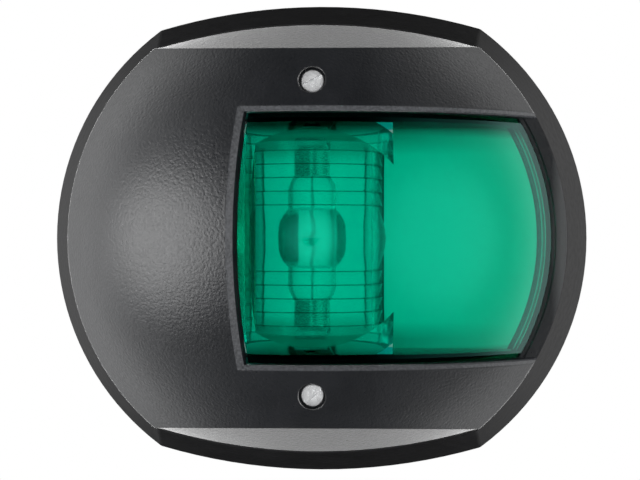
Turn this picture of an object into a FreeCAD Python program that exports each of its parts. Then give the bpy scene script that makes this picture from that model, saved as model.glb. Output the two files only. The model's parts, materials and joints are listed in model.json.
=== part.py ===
import FreeCAD, Part
import math
import os
import re
import Sketcher

# Side-mounted starboard navigation light, in millimetres.
#
# Every sub-part is modelled in the lamp's own working frame: x to the right (forward on
# the boat), y up, z the height above the hull. The last step turns each one so that the
# hull plane is y = 0 and the lamp stands out towards -y, with +Z up.

DOC = FreeCAD.newDocument("NavigationLight")
OUTWARD = FreeCAD.Placement(FreeCAD.Vector(0, 0, 0), FreeCAD.Rotation(FreeCAD.Vector(1, 0, 0), 90))
UPWARD = FreeCAD.Rotation(FreeCAD.Vector(1, 0, 0), -90)
ACROSS = FreeCAD.Rotation(FreeCAD.Vector(0, 1, 0), 90)
SLIVER = 0.01

# ------------------------------------------------------------------ driving dimensions

SIZES = {
    # margins: how deep fused solids bite, how far tools reach past, and small clearances
    "bite": 1.0, "beyond": 8.0, "press_ease": 0.05, "part_gap": 0.3, "hole_ease": 0.4,
    # mounting pad and base
    "pad_thickness": 1.5, "pad_inset": 1.2,
    "rim_shift": 1.5, "rim_radius": 61.0, "rim_apex": 54.55, "rim_arch": 134.0,
    "rim_corner": 2.0, "rim_top": 4.5,
    "land_top": 22.3, "land_proud": 0.5, "base_wall": 3.0, "floor_top": 4.5,
    "base_post_radius": 4.0, "reflector_post_radius": 3.0, "rest_radius": 2.0,
    "holder_post_radius": 3.0, "seal_inset": 0.3, "seal_width": 2.2,
    # cover
    "cover_bottom": 23.0, "cover_radius": 55.7, "cover_apex": 47.9, "cover_arch": 127.0,
    "outline_corner": 1.8, "dome_radius": 67.0, "dome_drop": 9.7, "dome_wall": 2.5,
    "end_wall_start": 45.4, "end_wall_slope": 0.1135,
    "tongue_bottom": 18.0, "tongue_wall": 1.8, "tongue_gap": 0.3, "tongue_shelf": 2.5,
    "shoulder_blend": 3.0,
    # window in the cover
    "window_half": 26.6, "window_bevel": 1.1, "well_wall": 2.0, "well_left": -20.0,
    "lip_top": 26.4, "ledge_width": 0.9, "ledge_top": 23.9, "ledge_thickness": 2.0,
    "ledge_radius": 52.5, "throat_radius": 49.7,
    "screen_x": -17.0, "screen_z": 57.0, "screen_angle": 20.0, "screen_wall": 2.0,
    "screen_bottom": 48.5,
    # coloured lens
    "lens_recess": 2.5, "lens_wall": 2.0, "lens_gap": 0.3, "lens_radius": 51.9,
    "lens_seal": 0.4, "bead_inset": 0.1,
    # bulb
    "bulb_x": -0.7, "bulb_z": 30.0, "glass_radius": 7.5, "glass_half": 14.3,
    "glass_wall": 0.7, "neck_radius": 5.3, "glass_bore": 4.4,
    "cap_radius": 3.9, "cap_start": 12.6, "cap_cone": 18.5,
    "cap_end": 21.5, "cap_tip": 1.2, "coil_radius": 0.35, "coil_half": 8.5,
    "lead_radius": 0.25,
    # inner ribbed lens
    "drum_radius": 15.4, "drum_wall": 2.3, "drum_half": 20.4, "drum_foot": 9.5,
    "rib_pitch": 2.88, "belt_half": 4.1, "rib_depth": 0.7, "belt_bulge": 0.8,
    # reflector and bulb holder
    "reflector_top": 14.0, "reflector_wall": 1.0, "reflector_left": -27.5,
    "reflector_half": 27.9, "reflector_radius": 49.6,
    "reflector_screw_x": -23.5, "reflector_screw_y": 18.0, "rest_x": 43.0,
    "holder_screw_y": 10.0, "holder_sink": 1.6,
    "holder_left": -8.0, "holder_right": 6.6, "holder_half": 25.0,
    "holder_bottom": 6.0, "holder_top": 12.6,
    "blade_inner": 20.0, "blade_wall": 0.5, "blade_width": 6.4, "blade_bottom": 13.3,
    "blade_top": 35.6, "blade_hole": 2.65, "blade_curl": 0.5, "blade_lip": 1.6,
    "blade_ease": 0.4, "blade_slot_deep": 2.2,
    "strip_bottom": 4.7, "strip_wall": 0.6, "strip_width": 3.2, "strip_turn": -11.0,
    # terminals and cable entry
    "block_left": -41.0, "block_right": -29.0, "block_half": 11.5, "block_top": 12.5,
    "clamp_y": 5.6, "clamp_half": 3.3, "clamp_bottom": 5.3, "clamp_top": 10.6,
    "clamp_floor": 0.6, "wire_sill": 0.2, "wire_way": 1.6, "wire_radius": 1.3, "terminal_tip": 8.0, "terminal_head_low": 11.4, "terminal_head_top": 13.0,
    "clamp_x": -34.0, "terminal_radius": 1.45, "terminal_head": 2.7,
    "terminal_slot": 0.6, "terminal_slot_deep": 0.8, "terminal_turn": 20.0,
    "cable_x": -21.0, "cable_y": -36.0, "cable_radius": 3.0, "grommet_radius": 5.0,
    "collar_wall": 1.8, "collar_top": 6.2, "grommet_flange": 1.5, "grommet_lip": 1.2,
    "grommet_sleeve": 1.2, "grommet_top": 9.6,
    # fasteners
    "screw_y": 33.3, "screw_radius": 1.25, "screw_bore": 1.55, "screw_head": 2.35,
    "screw_head_top": 45.0, "screw_head_tall": 2.0, "screw_tip": 18.0,
    "screw_slot": 0.8, "screw_slot_deep": 1.1, "upper_turn": 28.0, "lower_turn": 45.0,
    "thread_lead": 0.5, "thread_depth": 0.35, "head_chamfer": 0.3,
    "counterbore": 2.9, "washer_tall": 0.6,
    "washer_radius": 2.6, "washer_bore": 1.3, "post_radius": 3.75, "post_split": 26.3,
    "insert_radius": 2.1, "insert_bore": 1.3, "insert_bottom": 19.0, "insert_top": 26.0,
    "insert_groove": 0.3, "groove_floor": 0.6, "groove_mouth": 1.4,
    "runout_radius": 1.6, "runout_depth": 3.0,
    "fixing_x": 33.0, "fixing_y": 35.0, "fixing_radius": 2.25, "fixing_boss": 4.6,
    "fixing_boss_top": 7.0, "small_screw": 1.1, "small_head": 2.0, "small_head_tall": 1.2,
    "small_slot": 0.6, "small_point": 1.0,
}


def make_sheet():
    """Put every driving dimension in one spreadsheet and name its cell."""
    sheet = DOC.addObject("Spreadsheet::Sheet", "Sizes")
    for row, (alias, value) in enumerate(SIZES.items(), start=1):
        sheet.set("A%d" % row, alias)
        sheet.set("B%d" % row, str(value))
        sheet.setAlias("B%d" % row, alias)
    DOC.recompute()
    return sheet


SHEET = make_sheet()


def size(alias):
    return float(SHEET.get(alias))


def expression(text):
    """Turn each dimension's name in a formula into a reference to its cell."""
    known = lambda word: "Sizes." + word.group(0) if word.group(0) in SIZES else word.group(0)
    return re.sub(r"[a-z][a-z_]+", known, text)


def value_of(text):
    """The number that a formula of dimensions comes to now, worked out in a spare cell."""
    SHEET.set("D1", "=" + text)
    SHEET.recompute()
    return float(SHEET.get("D1"))


def bind(item, **formulas):
    for name, text in formulas.items():
        item.setExpression(name, expression(text))


def place(item, x="0", y="0", z="0"):
    item.setExpression("Placement.Base.x", expression(x))
    item.setExpression("Placement.Base.y", expression(y))
    item.setExpression("Placement.Base.z", expression(z))
    return item


# ------------------------------------------------------------------ solids

def box(name, x, y, z):
    """A block between two formulas on each axis."""
    item = DOC.addObject("Part::Box", name)
    bind(item, Length="(%s) - (%s)" % (x[1], x[0]), Width="(%s) - (%s)" % (y[1], y[0]),
         Height="(%s) - (%s)" % (z[1], z[0]))
    return place(item, x[0], y[0], z[0])


def cylinder(name, radius, z, x="0", y="0"):
    """A round bar standing on the hull plane's normal."""
    item = DOC.addObject("Part::Cylinder", name)
    bind(item, Radius=radius, Height="(%s) - (%s)" % (z[1], z[0]))
    return place(item, x, y, z[0])


def upright(name, radius, y, x, z):
    """A round bar that runs up the lamp."""
    item = DOC.addObject("Part::Cylinder", name)
    item.Placement.Rotation = UPWARD
    bind(item, Radius=radius, Height="(%s) - (%s)" % (y[1], y[0]))
    return place(item, x, y[0], z)


def sphere(name, radius, x="0", y="0", z="0"):
    item = DOC.addObject("Part::Sphere", name)
    bind(item, Radius=radius)
    return place(item, x, y, z)


def fuse(name, *items):
    item = DOC.addObject("Part::MultiFuse", name)
    item.Shapes = list(items)
    item.Refine = True
    return item


def common(name, *items):
    item = DOC.addObject("Part::MultiCommon", name)
    item.Shapes = list(items)
    return item


def cut(name, base, *tools):
    item = DOC.addObject("Part::Cut", name)
    item.Base = base
    item.Tool = tools[0] if len(tools) == 1 else fuse(name + "_tools", *tools)
    item.Refine = True
    return item


def pair(maker, name, y, *arguments, **options):
    """The same solid above and below the lamp's middle."""
    upper = maker(name + "_upper", *arguments, y=y, **options)
    lower = maker(name + "_lower", *arguments, y="0 - (%s)" % y, **options)
    return [upper, lower]


def group(name, items):
    """Separate solids that share one node."""
    item = DOC.addObject("Part::Compound", name)
    item.Links = items
    return item


def coded(name, shape):
    item = DOC.addObject("Part::Feature", name)
    item.Shape = shape
    return item


# ------------------------------------------------------------------ sketches

def polygon(sketch, vertices):
    """A closed outline whose corners are all held by named dimensions."""
    points = [FreeCAD.Vector(value_of(x), value_of(y), 0) for x, y in vertices]
    count = len(points)
    for index in range(count):
        sketch.addGeometry(Part.LineSegment(points[index], points[(index + 1) % count]), False)
    for index in range(count):
        sketch.addConstraint(Sketcher.Constraint("Coincident", index, 2, (index + 1) % count, 1))
    for index, (x, y) in enumerate(vertices):
        for kind, text, place_on_axis in (("DistanceX", x, points[index].x), ("DistanceY", y, points[index].y)):
            held = sketch.addConstraint(Sketcher.Constraint(kind, -1, 1, index, 1, place_on_axis))
            if place_on_axis != 0:
                sketch.setExpression("Constraints[%d]" % held, expression(text))


def circle(sketch, radius, x, y):
    """A round outline held by named dimensions."""
    middle = FreeCAD.Vector(value_of(x), value_of(y), 0)
    ring = sketch.addGeometry(Part.Circle(middle, FreeCAD.Vector(0, 0, 1), value_of(radius)), False)
    held = sketch.addConstraint(Sketcher.Constraint("Radius", ring, value_of(radius)))
    sketch.setExpression("Constraints[%d]" % held, expression(radius))
    for kind, text, offset in (("DistanceX", x, middle.x), ("DistanceY", y, middle.y)):
        held = sketch.addConstraint(Sketcher.Constraint(kind, -1, 1, ring, 3, offset))
        if offset != 0:
            sketch.setExpression("Constraints[%d]" % held, expression(text))


def corner_points(shift, radius, apex, arch, corner):
    """Where the corner blend leaves the side arc and meets the end arc, upper right."""
    side_reach = radius - corner
    end_reach = arch - corner
    drop = arch - apex
    span = math.hypot(shift, drop)
    along = (side_reach ** 2 - end_reach ** 2 + span ** 2) / (2 * span)
    across = math.sqrt(side_reach ** 2 - along ** 2)
    toward = FreeCAD.Vector(-shift / span, -drop / span, 0)
    aside = FreeCAD.Vector(-toward.y, toward.x, 0)
    side_middle = FreeCAD.Vector(shift, 0, 0)
    end_middle = FreeCAD.Vector(0, -drop, 0)
    blend_middle = side_middle + toward * along + aside * across
    leave = side_middle + (blend_middle - side_middle) * (radius / side_reach)
    meet = end_middle + (blend_middle - end_middle) * (arch / end_reach)
    return blend_middle, leave, meet


def four_arcs(sketch, shift, radius, apex, arch, corner):
    """The lamp's outline: two side arcs, two flatter end arcs and four small corners."""
    s, r, a, e, c = [value_of(text) for text in (shift, radius, apex, arch, corner)]
    blend, leave, meet = corner_points(s, r, a, e, c)
    arcs = []
    turned = lambda p, q: math.atan2(p.y - q.y, p.x - q.x)
    flip = lambda p, sx, sy: FreeCAD.Vector(p.x * sx, p.y * sy, 0)
    side = FreeCAD.Vector(s, 0, 0)
    end = FreeCAD.Vector(0, a - e, 0)
    chain = [
        (side, r, flip(leave, 1, -1), leave), (blend, c, leave, meet),
        (end, e, meet, flip(meet, -1, 1)),
        (flip(blend, -1, 1), c, flip(meet, -1, 1), flip(leave, -1, 1)),
        (flip(side, -1, 1), r, flip(leave, -1, 1), flip(leave, -1, -1)),
        (flip(blend, -1, -1), c, flip(leave, -1, -1), flip(meet, -1, -1)),
        (flip(end, 1, -1), e, flip(meet, -1, -1), flip(meet, 1, -1)),
        (flip(blend, 1, -1), c, flip(meet, 1, -1), flip(leave, 1, -1)),
    ]
    for middle, reach, start, stop in chain:
        ring = Part.Circle(middle, FreeCAD.Vector(0, 0, 1), reach)
        first = turned(start, middle)
        last = turned(stop, middle)
        if last < first:
            last += 2 * math.pi
        arcs.append(sketch.addGeometry(Part.ArcOfCircle(ring, first, last), False))
    for index, arc in enumerate(arcs):
        sketch.addConstraint(Sketcher.Constraint("Tangent", arc, 2, arcs[(index + 1) % 8], 1))
    right, left, top, bottom = arcs[0], arcs[4], arcs[2], arcs[6]
    held = []
    for arc, text in ((right, radius), (left, radius), (top, arch), (bottom, arch)):
        held.append((sketch.addConstraint(Sketcher.Constraint("Radius", arc, value_of(text))), text))
    for arc in (arcs[1], arcs[3], arcs[5], arcs[7]):
        held.append((sketch.addConstraint(Sketcher.Constraint("Radius", arc, c)), corner))
    for arc in (top, bottom):
        sketch.addConstraint(Sketcher.Constraint("PointOnObject", arc, 3, -2))
    drop = "(%s) - (%s)" % (arch, apex)
    held.append((sketch.addConstraint(Sketcher.Constraint("DistanceY", top, 3, -1, 1, e - a)), drop))
    held.append((sketch.addConstraint(Sketcher.Constraint("DistanceY", -1, 1, bottom, 3, e - a)), drop))
    if s == 0:
        for arc in (right, left):
            sketch.addConstraint(Sketcher.Constraint("Coincident", arc, 3, -1, 1))
    else:
        for arc in (right, left):
            sketch.addConstraint(Sketcher.Constraint("PointOnObject", arc, 3, -1))
        held.append((sketch.addConstraint(Sketcher.Constraint("DistanceX", -1, 1, right, 3, s)), shift))
        held.append((sketch.addConstraint(Sketcher.Constraint("DistanceX", left, 3, -1, 1, s)), shift))
    for constraint, text in held:
        sketch.setExpression("Constraints[%d]" % constraint, expression(text))


def free_sketch(name, z):
    sketch = DOC.addObject("Sketcher::SketchObject", name)
    sketch.setExpression("Placement.Base.z", expression(z))
    return sketch


def extrusion(name, sketch, z):
    """A straight-sided block on a free outline, between two heights."""
    item = DOC.addObject("Part::Extrusion", name)
    item.Base = sketch
    item.DirMode = "Custom"
    item.Dir = FreeCAD.Vector(0, 0, 1)
    item.Solid = True
    bind(item, LengthFwd="(%s) - (%s)" % (z[1], z[0]))
    return item


def cover_outline(sketch, proud):
    """The cover's own outline, moved outwards by a formula."""
    four_arcs(sketch, "0", "cover_radius + %s" % proud, "cover_apex + %s" % proud,
              "cover_arch + %s" % proud, "outline_corner")


def outline_block(name, proud, z):
    """A straight-sided block on the cover's outline."""
    sketch = free_sketch(name + "_outline", z[0])
    cover_outline(sketch, proud)
    return extrusion(name, sketch, z)


def origin_plane(body, role):
    return [plane for plane in body.Origin.OriginFeatures if plane.Role == role][0]


def body_sketch(body, name, role, z="0"):
    sketch = body.newObject("Sketcher::SketchObject", name)
    sketch.AttachmentSupport = [(origin_plane(body, role), "")]
    sketch.MapMode = "FlatFace"
    sketch.setExpression("AttachmentOffset.Base.z", expression(z))
    return sketch


def pad(body, sketch, length):
    feature = body.newObject("PartDesign::Pad", sketch.Name + "_pad")
    feature.Profile = sketch
    bind(feature, Length=length)
    return feature


def pocket(body, sketch, length):
    """Cut upwards, away from the hull, from the sketch's own height."""
    feature = body.newObject("PartDesign::Pocket", sketch.Name + "_pocket")
    feature.Profile = sketch
    feature.Reversed = True
    bind(feature, Length=length)
    return feature


def turned_body(name, profile, x="0", y="0"):
    """A body of revolution about an upright line at x, y. The profile is radius, height."""
    body = DOC.addObject("PartDesign::Body", name)
    sketch = body_sketch(body, name + "_profile", "XZ_Plane", "0 - (%s)" % y)
    sketch.setExpression("AttachmentOffset.Base.x", expression(x))
    polygon(sketch, profile)
    feature = body.newObject("PartDesign::Revolution", name + "_turning")
    feature.Profile = sketch
    feature.ReferenceAxis = (sketch, ["V_Axis"])
    feature.Angle = 360
    return body


# ------------------------------------------------------------------ base

def make_mounting_gasket():
    body = DOC.addObject("PartDesign::Body", "mounting_gasket")
    sheet = body_sketch(body, "gasket_sheet", "XY_Plane")
    four_arcs(sheet, "rim_shift", "rim_radius - pad_inset", "rim_apex - pad_inset",
              "rim_arch - pad_inset", "rim_corner")
    pad(body, sheet, "pad_thickness")
    holes = body_sketch(body, "gasket_holes", "XY_Plane")
    for side in ("", "0 - "):
        circle(holes, "fixing_radius + hole_ease", side + "fixing_x", "fixing_y")
        circle(holes, "fixing_radius + hole_ease", side + "fixing_x", "0 - fixing_y")
    circle(holes, "grommet_radius + hole_ease", "cable_x", "cable_y")
    pocket(body, holes, "pad_thickness")
    return body


def make_base_shell():
    """The tray: a low rim, a band that draws in to the cover's outline, and the hollow."""
    rim_formulas = ("rim_shift", "rim_radius", "rim_apex", "rim_arch", "rim_corner")
    low = free_sketch("rim_low", "pad_thickness")
    four_arcs(low, *rim_formulas)
    rim = extrusion("rim", low, ("pad_thickness", "rim_top"))
    high = free_sketch("rim_high", "rim_top")
    four_arcs(high, *rim_formulas)
    land = free_sketch("land", "land_top")
    four_arcs(land, "0", "cover_radius + land_proud", "cover_apex + land_proud",
              "cover_arch + land_proud", "rim_corner")
    band = DOC.addObject("Part::Loft", "band")
    band.Sections = [high, land]
    band.Solid = True
    band.Ruled = True
    hollow = outline_block("base_hollow", "land_proud - base_wall",
                           ("floor_top", "land_top + beyond"))
    return cut("base_tray", fuse("base_solid", rim, band), hollow)


def make_base_plate():
    foot = "floor_top - bite"
    plate_seat = "reflector_top - reflector_wall"
    fixings = (("right", "fixing_x"), ("left", "0 - fixing_x"))
    added = [make_base_shell()]
    added += pair(cylinder, "screw_post", "screw_y", "base_post_radius", (foot, "insert_top"))
    for side, x in fixings:
        added += pair(cylinder, "fixing_boss_" + side, "fixing_y", "fixing_boss",
                      (foot, "fixing_boss_top"), x=x)
    added += pair(cylinder, "reflector_post", "reflector_screw_y", "reflector_post_radius",
                  (foot, plate_seat), x="reflector_screw_x")
    added += pair(cylinder, "reflector_rest", "reflector_screw_y", "rest_radius",
                  (foot, plate_seat), x="rest_x")
    added += pair(cylinder, "holder_post", "holder_screw_y", "holder_post_radius",
                  (foot, "holder_bottom"), x="bulb_x")
    added.append(cylinder("cable_collar", "grommet_radius + collar_wall", (foot, "collar_top"),
                          "cable_x", "cable_y"))
    removed = []
    removed += pair(cylinder, "insert_seat", "screw_y", "insert_radius",
                    ("insert_bottom", "insert_top + beyond"))
    removed += pair(cylinder, "screw_runout", "screw_y", "runout_radius",
                    ("insert_bottom - runout_depth", "insert_bottom + bite"))
    for side, x in fixings:
        removed += pair(cylinder, "fixing_hole_" + side, "fixing_y", "fixing_radius",
                        ("0", "fixing_boss_top + beyond"), x=x)
    removed += pair(cylinder, "reflector_pilot", "reflector_screw_y", "small_screw",
                    ("floor_top", "reflector_top"), x="reflector_screw_x")
    removed += pair(cylinder, "holder_pilot", "holder_screw_y", "small_screw",
                    ("pad_thickness + bite", "holder_bottom + bite"), x="bulb_x")
    removed.append(cylinder("cable_hole", "grommet_radius", ("0", "collar_top + beyond"),
                            "cable_x", "cable_y"))
    return cut("base_plate", fuse("base_added", *added), *removed)


def make_cover_seal():
    ring = outline_block("seal_outer", "(0 - seal_inset)", ("land_top", "cover_bottom"))
    inside = outline_block("seal_inner", "(0 - seal_inset - seal_width)",
                           ("land_top - bite", "cover_bottom + bite"))
    return cut("cover_seal", ring, inside)


def make_grommet():
    """Rubber bush that grips the floor of the base round the cable."""
    bush = "grommet_radius - press_ease"
    flange = "grommet_radius + grommet_flange"
    profile = [
        ("cable_radius", "pad_thickness"), (bush, "pad_thickness"), (bush, "collar_top"),
        (flange, "collar_top"), (flange, "collar_top + grommet_lip"),
        ("cable_radius + grommet_sleeve", "grommet_top"), ("cable_radius", "grommet_top"),
    ]
    return turned_body("cable_grommet", profile, "cable_x", "cable_y")


# ------------------------------------------------------------------ cover

def crease_height(offset, slope, reach):
    """Height at which a draughted end wall's plane meets the dome, on the lamp's middle line."""
    drop = size("dome_drop")
    a = 1 + slope ** 2
    b = 2 * drop - 2 * offset * slope
    c = offset ** 2 + drop ** 2 - reach ** 2
    return (-b + math.sqrt(b ** 2 - 4 * a * c)) / (2 * a)


def hood(inset):
    """The cover's outer form, or the same form set in by a wall's thickness.

    A dome stands on a round drum. Two draughted planes trim it above and below, and from
    the crease that each leaves, a ruled face flares out to the arched end of the outline.
    """
    reach = size("dome_radius") - inset
    side = size("cover_radius") - inset
    low = size("cover_bottom")
    slope = size("end_wall_slope")
    offset = size("end_wall_start") - inset
    apex = size("cover_apex") - inset
    top = size("screen_z") + size("beyond")
    centre = FreeCAD.Vector(0, 0, -size("dome_drop"))
    dome = Part.makeSphere(reach, centre)
    drum = Part.makeCylinder(side, top - low, FreeCAD.Vector(0, 0, low))
    wide = side + size("beyond")
    plane_at = lambda z: offset - slope * z
    trapezium = Part.makePolygon([
        FreeCAD.Vector(-wide, -plane_at(low), low), FreeCAD.Vector(-wide, plane_at(low), low),
        FreeCAD.Vector(-wide, plane_at(top), top), FreeCAD.Vector(-wide, -plane_at(top), top),
        FreeCAD.Vector(-wide, -plane_at(low), low)])
    wedge = Part.Face(trapezium).extrude(FreeCAD.Vector(2 * wide, 0, 0))
    core = dome.common(drum).common(wedge)
    shoulder = math.sqrt(reach ** 2 - side ** 2) - size("dome_drop")
    foot_x = math.sqrt(side ** 2 - plane_at(low) ** 2)
    crease_x = math.sqrt(side ** 2 - plane_at(shoulder) ** 2)
    crease_top = crease_height(offset, slope, reach)

    def flare(sign):
        foot = [FreeCAD.Vector(-foot_x, sign * plane_at(low), low),
                FreeCAD.Vector(0, sign * apex, low),
                FreeCAD.Vector(foot_x, sign * plane_at(low), low)]
        crease = [FreeCAD.Vector(-crease_x, sign * plane_at(shoulder), shoulder),
                  FreeCAD.Vector(0, sign * plane_at(crease_top), crease_top),
                  FreeCAD.Vector(crease_x, sign * plane_at(shoulder), shoulder)]
        foot_arc = Part.Arc(*foot).toShape()
        crease_arc = Part.Arc(*crease).toShape()
        chord = Part.LineSegment(foot[0], foot[2]).toShape()
        sides = [Part.LineSegment(foot[end], crease[end]).toShape() for end in (0, 2)]
        under = Part.Face(Part.Wire(Part.__sortEdges__([foot_arc, chord])))
        back = Part.Face(Part.Wire(Part.__sortEdges__([chord, crease_arc] + sides)))
        shell = Part.makeShell([under, back, Part.makeRuledSurface(foot_arc, crease_arc)])
        shell.sewShape()
        solid = Part.Solid(shell)
        if solid.Volume < 0:
            solid.reverse()
        return solid

    return core.fuse([flare(1), flare(-1)]).removeSplitter()


def blended_hood():
    """The outer form, with the edge where the dome meets the drum rounded over."""
    form = hood(0)
    shoulder = math.sqrt(size("dome_radius") ** 2 - size("cover_radius") ** 2) - size("dome_drop")
    edges = []
    for edge in form.Edges:
        middle = edge.valueAt((edge.FirstParameter + edge.LastParameter) / 2)
        if abs(middle.z - shoulder) < SLIVER and edge.Length > size("shoulder_blend"):
            edges.append(edge)
    return form.makeFillet(size("shoulder_blend"), edges)


def screen_block(name, shift, thick, bottom):
    """A slab whose right face lies on the light's cut-off plane, or beside it by a shift."""
    item = box(name, ("0", thick), ("0 - window_half - well_wall", "window_half + well_wall"),
               ("0", "cover_radius"))
    item.Placement.Rotation = FreeCAD.Rotation(FreeCAD.Vector(0, 1, 0), -size("screen_angle"))
    foot = "tan(screen_angle) * (screen_z - (%s))" % bottom
    level = "(%s) / cos(screen_angle)" % thick
    place(item, "screen_x + %s + %s - %s" % (foot, shift, level),
          "0 - window_half - well_wall", bottom)
    return item


def window_funnel():
    """The window's opening through the cover, with a bevel along its three dome edges.

    Each edge is where a plane meets the dome, so it is a circle about the plane's normal
    through the dome's centre, and its bevel is a cone about the same line.
    """
    reach = size("dome_radius")
    bevel = size("window_bevel")
    centre = FreeCAD.Vector(0, 0, -size("dome_drop"))
    far = 2 * reach

    def edge_space(normal, distance):
        """All that lies inside an edge's plane, and its bevel just outside it."""
        inside = Part.makeCylinder(far, far, centre + normal * (distance - far), normal)
        near_radius = math.sqrt(reach ** 2 - distance ** 2) - bevel
        far_radius = math.sqrt(reach ** 2 - (distance + bevel) ** 2)
        start = centre + normal * distance
        disc = Part.makeCylinder(far, bevel, start, normal)
        core = Part.makeCone(near_radius, far_radius, bevel, start, normal)
        return inside.fuse(disc.cut(core))

    angle = math.radians(size("screen_angle"))
    aft = FreeCAD.Vector(-math.cos(angle), 0, -math.sin(angle))
    on_plane = FreeCAD.Vector(size("screen_x"), 0, size("screen_z"))
    space = edge_space(FreeCAD.Vector(0, 1, 0), size("window_half"))
    space = space.common(edge_space(FreeCAD.Vector(0, -1, 0), size("window_half")))
    space = space.common(edge_space(aft, (on_plane - centre).dot(aft)))
    corner = FreeCAD.Vector(size("screen_x") - size("beyond"), -far, size("lip_top"))
    above = Part.makeBox(far, 2 * far, far, corner)
    return space.common(above)


def make_cover_shell():
    outer = coded("cover_form", blended_hood())
    inner = coded("cover_hollow", hood(size("dome_wall")))
    shell = cut("cover_skin", outer, inner)
    shelf = "cover_bottom + tongue_shelf"
    tongue_face = "land_proud - base_wall - tongue_gap"
    tongue = fuse("tongue",
                  outline_block("tongue_outer", "(%s)" % tongue_face, ("tongue_bottom", shelf)),
                  outline_block("tongue_shelf_ring", "(0 - bite)", ("cover_bottom", shelf)))
    throat = outline_block("tongue_inner", "(%s - tongue_wall)" % tongue_face,
                           ("tongue_bottom - bite", shelf + " + bite"))
    tongue_ring = cut("tongue_ring", tongue, throat)
    wall_top = "screen_z + beyond"
    outside = "window_half + well_wall"
    side_walls = [box("well_wall_" + label, ("well_left", "cover_radius"),
                      span_up(label, "window_half", outside), ("cover_bottom", wall_top))
                  for label in ("upper", "lower")]
    screen = screen_block("screen", "0", "screen_wall", "screen_bottom")
    posts = pair(cylinder, "cover_post", "screw_y", "post_radius", ("post_split", wall_top))
    rib_blocks = fuse("cover_rib_blocks", *(side_walls + [screen] + posts))
    ribs = common("cover_ribs", rib_blocks, coded("cover_rib_bound", hood(size("bite"))))
    ledge_span = ("ledge_top - ledge_thickness", "ledge_top")
    ledge_block = box("ledge_block", ("well_left", "cover_radius"),
                      ("0 - (%s)" % outside, outside), ledge_span)
    ledge = common("ledge", ledge_block, cylinder("ledge_round", "ledge_radius", ledge_span))
    solid = fuse("cover_solid", shell, tongue_ring, ribs, ledge)
    # the window, open in front and to the right down to the lip, and the lens's seat in it
    opening = coded("window_opening", window_funnel())
    half = ("0 - window_half", "window_half")
    seat_span = ("ledge_top", "screen_bottom")
    seat_bound = coded("lens_seat_bound", hood(size("lens_recess") - size("lens_gap")))
    seat = common("lens_seat", cylinder("seat_round", "lens_radius + lens_gap", seat_span),
                  box("seat_box", ("well_left - bite", "cover_radius + bite"), half, seat_span),
                  seat_bound)
    clear_span = ("ledge_top - beyond", "ledge_top + bite")
    clear_half = ("ledge_width - window_half", "window_half - ledge_width")
    clear = common("throat", cylinder("throat_round", "throat_radius", clear_span),
                   box("throat_box", ("well_left - bite", "cover_radius"), clear_half, clear_span))
    bores = pair(cylinder, "screw_way", "screw_y", "screw_bore", ("post_split - bite", wall_top))
    seats = pair(cylinder, "screw_counterbore", "screw_y", "counterbore",
                 ("screw_head_top - screw_head_tall - washer_tall", wall_top))
    return cut("cover_shell", solid, opening, seat, clear, *(bores + seats))


# ------------------------------------------------------------------ coloured lens

def make_green_lens():
    """A deep tub: domed in front, with an upper, a lower and a rounded right-hand wall."""
    far_top = "screen_z + beyond"
    aft = "screen_x - beyond"

    def tub(name, inset, low):
        reach = sphere(name + "_dome", "dome_radius - lens_recess - %s" % inset, z="0 - dome_drop")
        barrel = cylinder(name + "_round", "lens_radius - %s" % inset, (low, far_top))
        half = "(window_half - lens_gap - %s)" % inset
        block = box(name + "_block", (aft, "cover_radius"), ("0 - " + half, half), (low, far_top))
        keep = screen_block(name + "_aft", "lens_gap + %s" % inset, "cover_radius", "0")
        return cut(name, common(name + "_form", reach, barrel, block), keep)

    hollow_low = "ledge_top - bite"
    outer = tub("lens_outer", "0", "ledge_top + lens_seal")
    inner = tub("lens_inner", "lens_wall", hollow_low)
    half = "(window_half - lens_gap - lens_wall)"
    aft_gap = box("lens_aft_gap", (aft, "0 - screen_x"), ("0 - " + half, half),
                  (hollow_low, "screen_bottom"))
    return cut("green_lens", outer, inner, aft_gap)


def make_lens_seal():
    """A thin bead on the well's ledge, under the lens's open edge."""
    z = ("ledge_top", "ledge_top + lens_seal")
    tool_z = ("ledge_top - bite", "ledge_top + bite")
    half = "(window_half - lens_gap - bead_inset)"
    outer = common("bead_outer", cylinder("bead_round", "lens_radius - bead_inset", z),
                   box("bead_block", ("well_left + bite", "cover_radius"), ("0 - " + half, half), z))
    inner_half = "(window_half - ledge_width + bead_inset)"
    inner = common("bead_inner", cylinder("bead_inner_round", "throat_radius + bead_inset", tool_z),
                   box("bead_inner_block", ("well_left", "cover_radius"),
                       ("0 - " + inner_half, inner_half), tool_z))
    return cut("lens_gasket", outer, inner)


# ------------------------------------------------------------------ inner ribbed lens

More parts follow.
